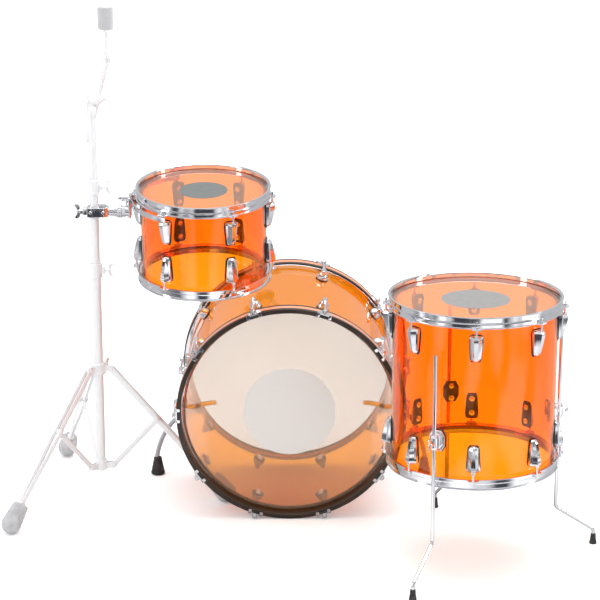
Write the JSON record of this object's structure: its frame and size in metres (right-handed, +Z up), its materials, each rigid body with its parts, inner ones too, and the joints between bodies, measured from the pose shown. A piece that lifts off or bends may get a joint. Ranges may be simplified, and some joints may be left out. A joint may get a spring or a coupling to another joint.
{
  "type": "acoustic drum kit",
  "caption": "Acoustic drum kit with tinted clear shells: bass drum on curved spurs, floor tom on legs and a rack tom hung from a boom stand.",
  "frame": {"origin": "on the floor at the centre of the kit's bounding box", "axes": "+X to the drummer's right, +Y away from the drummer, +Z up"},
  "size_m": [1.5425, 1.0491, 1.3425],
  "materials": {
    "amber_acrylic": "clear amber acrylic, polished",
    "frosted_film": "frosted polyester film",
    "clear_film": "clear polyester film, glossy",
    "black_lacquer": "black lacquered maple",
    "orange_inlay": "glossy inlay strip",
    "chrome": "bright chrome plate",
    "black_rubber": "moulded black rubber",
    "grey_rubber": "moulded pale grey rubber",
    "grey_felt": "pressed felt",
    "satin_steel": "pale satin chrome"
  },
  "bodies": {
    "drums": {"bass_shell": "amber_acrylic", "bass_batter_head": "frosted_film", "bass_front_head": "clear_film", "bass_hoops": "black_lacquer", "bass_hoop_inlays": "orange_inlay", "bass_lugs": "chrome", "bass_claws": "chrome", "bass_tension_rods": "chrome", "lug_gaskets": "black_rubber", "spur_brackets": "chrome", "floor_tom_shell": "amber_acrylic", "floor_tom_batter_head": "clear_film", "floor_tom_bottom_head": "clear_film", "floor_tom_hoops": "chrome", "floor_tom_lugs": "chrome", "floor_tom_tension_rods": "chrome", "floor_tom_leg_brackets": "chrome", "leg_wing_screws": "chrome", "stand_base_tube": "satin_steel", "lower_height_lock": "satin_steel"},
    "left_spur": {"left_spur": "chrome", "left_spur_foot": "black_rubber"},
    "right_spur": {"right_spur": "chrome", "right_spur_foot": "black_rubber"},
    "front_leg": {"front_leg": "chrome", "front_leg_foot": "black_rubber"},
    "right_leg": {"right_leg": "chrome", "right_leg_foot": "black_rubber"},
    "back_leg": {"back_leg": "chrome", "back_leg_foot": "black_rubber"},
    "stand_hub": {"stand_hub_collar": "satin_steel"},
    "stand_leg_near": {"stand_leg_near": "satin_steel", "stand_foot_near": "grey_rubber"},
    "stand_leg_right": {"stand_leg_right": "satin_steel", "stand_foot_right": "grey_rubber"},
    "stand_leg_far": {"stand_leg_far": "satin_steel", "stand_foot_far": "grey_rubber"},
    "stand_brace_near": {"stand_brace_near": "satin_steel"},
    "stand_brace_right": {"stand_brace_right": "satin_steel"},
    "stand_brace_far": {"stand_brace_far": "satin_steel"},
    "middle_tube": {"stand_middle_tube": "satin_steel", "upper_height_lock": "satin_steel"},
    "upper_tube": {"stand_upper_tube": "satin_steel", "boom_tilter_base": "satin_steel"},
    "tom_mount": {"tom_clamp": "chrome", "tom_clamp_wing_bolt": "chrome", "tom_mount_arm": "chrome"},
    "tom": {"tom_shell": "amber_acrylic", "tom_batter_head": "clear_film", "tom_bottom_head": "clear_film", "tom_hoops": "chrome", "tom_lugs": "chrome", "tom_lug_gaskets": "black_rubber", "tom_tension_rods": "chrome", "tom_suspension_band": "chrome", "tom_mount_bracket": "chrome"},
    "boom_clamp": {"boom_tilter_clamp": "satin_steel"},
    "boom_arm": {"boom_arm": "satin_steel"},
    "cymbal_holder": {"cymbal_tilter": "satin_steel", "cymbal_sleeve": "grey_felt"}
  },
  "joints": [
    {"name": "left_spur_retract", "type": "hinge", "parent": "drums", "child": "left_spur", "pos_m": [-0.19464, 0.27899, 0.02], "axis": [0.342, 0.9397, 0], "range_deg": [0, 45]},
    {"name": "right_spur_retract", "type": "hinge", "parent": "drums", "child": "right_spur", "pos_m": [0.15264, 0.27899, 0.02], "axis": [0.342, -0.9397, 0], "range_deg": [0, 45]},
    {"name": "front_leg_height", "type": "slide", "parent": "drums", "child": "front_leg", "axis": [0, 0, 1], "range_m": [0, 0.12]},
    {"name": "right_leg_height", "type": "slide", "parent": "drums", "child": "right_leg", "axis": [0, 0, 1], "range_m": [0, 0.12]},
    {"name": "back_leg_height", "type": "slide", "parent": "drums", "child": "back_leg", "axis": [0, 0, 1], "range_m": [0, 0.12]},
    {"name": "tripod_fold", "type": "slide", "parent": "drums", "child": "stand_hub", "axis": [0, 0, 1], "range_m": [0, 0.05]},
    {"name": "stand_leg_near_fold", "type": "hinge", "parent": "stand_hub", "child": "stand_leg_near", "pos_m": [-0.55616, 0.15213, 0.366], "axis": [0.788, -0.6157, 0], "range_deg": [-2, 15.02]},
    {"name": "stand_brace_near_fold", "type": "hinge", "parent": "drums", "child": "stand_brace_near", "pos_m": [-0.55616, 0.15213, 0.092], "axis": [0.788, -0.6157, 0], "range_deg": [-15.02, 2]},
    {"name": "stand_leg_right_fold", "type": "hinge", "parent": "stand_hub", "child": "stand_leg_right", "pos_m": [-0.49835, 0.17549, 0.366], "axis": [0.1392, 0.9903, 0], "range_deg": [-2, 15.02]},
    {"name": "stand_brace_right_fold", "type": "hinge", "parent": "drums", "child": "stand_brace_right", "pos_m": [-0.49835, 0.17549, 0.092], "axis": [0.1392, 0.9903, 0], "range_deg": [-15.02, 2]},
    {"name": "stand_leg_far_fold", "type": "hinge", "parent": "stand_hub", "child": "stand_leg_far", "pos_m": [-0.54749, 0.21388, 0.366], "axis": [-0.9272, -0.3746, 0], "range_deg": [-2, 15.02]},
    {"name": "stand_brace_far_fold", "type": "hinge", "parent": "drums", "child": "stand_brace_far", "pos_m": [-0.54749, 0.21388, 0.092], "axis": [-0.9272, -0.3746, 0], "range_deg": [-15.02, 2]},
    {"name": "middle_tube_height", "type": "slide", "parent": "drums", "child": "middle_tube", "axis": [0, 0, 1], "range_m": [0, 0.15]},
    {"name": "upper_tube_height", "type": "slide", "parent": "middle_tube", "child": "upper_tube", "axis": [0, 0, 1], "range_m": [-0.02, 0.12]},
    {"name": "tom_swing", "type": "hinge", "parent": "middle_tube", "child": "tom_mount", "pos_m": [-0.534, 0.1805, 0.798], "axis": [0, 0, 1], "range_deg": [-10, 8]},
    {"name": "tom_tilt", "type": "hinge", "parent": "tom_mount", "child": "tom", "pos_m": [-0.461, 0.1805, 0.798], "axis": [1, 0, 0], "range_deg": [-7, 0]},
    {"name": "boom_tilt", "type": "hinge", "parent": "upper_tube", "child": "boom_clamp", "pos_m": [-0.534, 0.1805, 1.094], "axis": [0.766, 0.6428, 0], "range_deg": [-22, 55]},
    {"name": "boom_extend", "type": "slide", "parent": "boom_clamp", "child": "boom_arm", "axis": [0.2491, -0.2969, 0.9219], "range_m": [-0.05, 0.07]},
    {"name": "cymbal_tilt", "type": "hinge", "parent": "boom_arm", "child": "cymbal_holder", "pos_m": [-0.4868, 0.15536, 1.212], "axis": [0.766, 0.6428, 0], "range_deg": [-40, 40]}
  ],
  "couplings": [
    {"joint": "stand_leg_near_fold", "follows": "tripod_fold", "rad_per_m": 4.5444},
    {"joint": "stand_brace_near_fold", "follows": "tripod_fold", "rad_per_m": -4.5444},
    {"joint": "stand_leg_right_fold", "follows": "tripod_fold", "rad_per_m": 4.5444},
    {"joint": "stand_brace_right_fold", "follows": "tripod_fold", "rad_per_m": -4.5444},
    {"joint": "stand_leg_far_fold", "follows": "tripod_fold", "rad_per_m": 4.5444},
    {"joint": "stand_brace_far_fold", "follows": "tripod_fold", "rad_per_m": -4.5444}
  ]
}
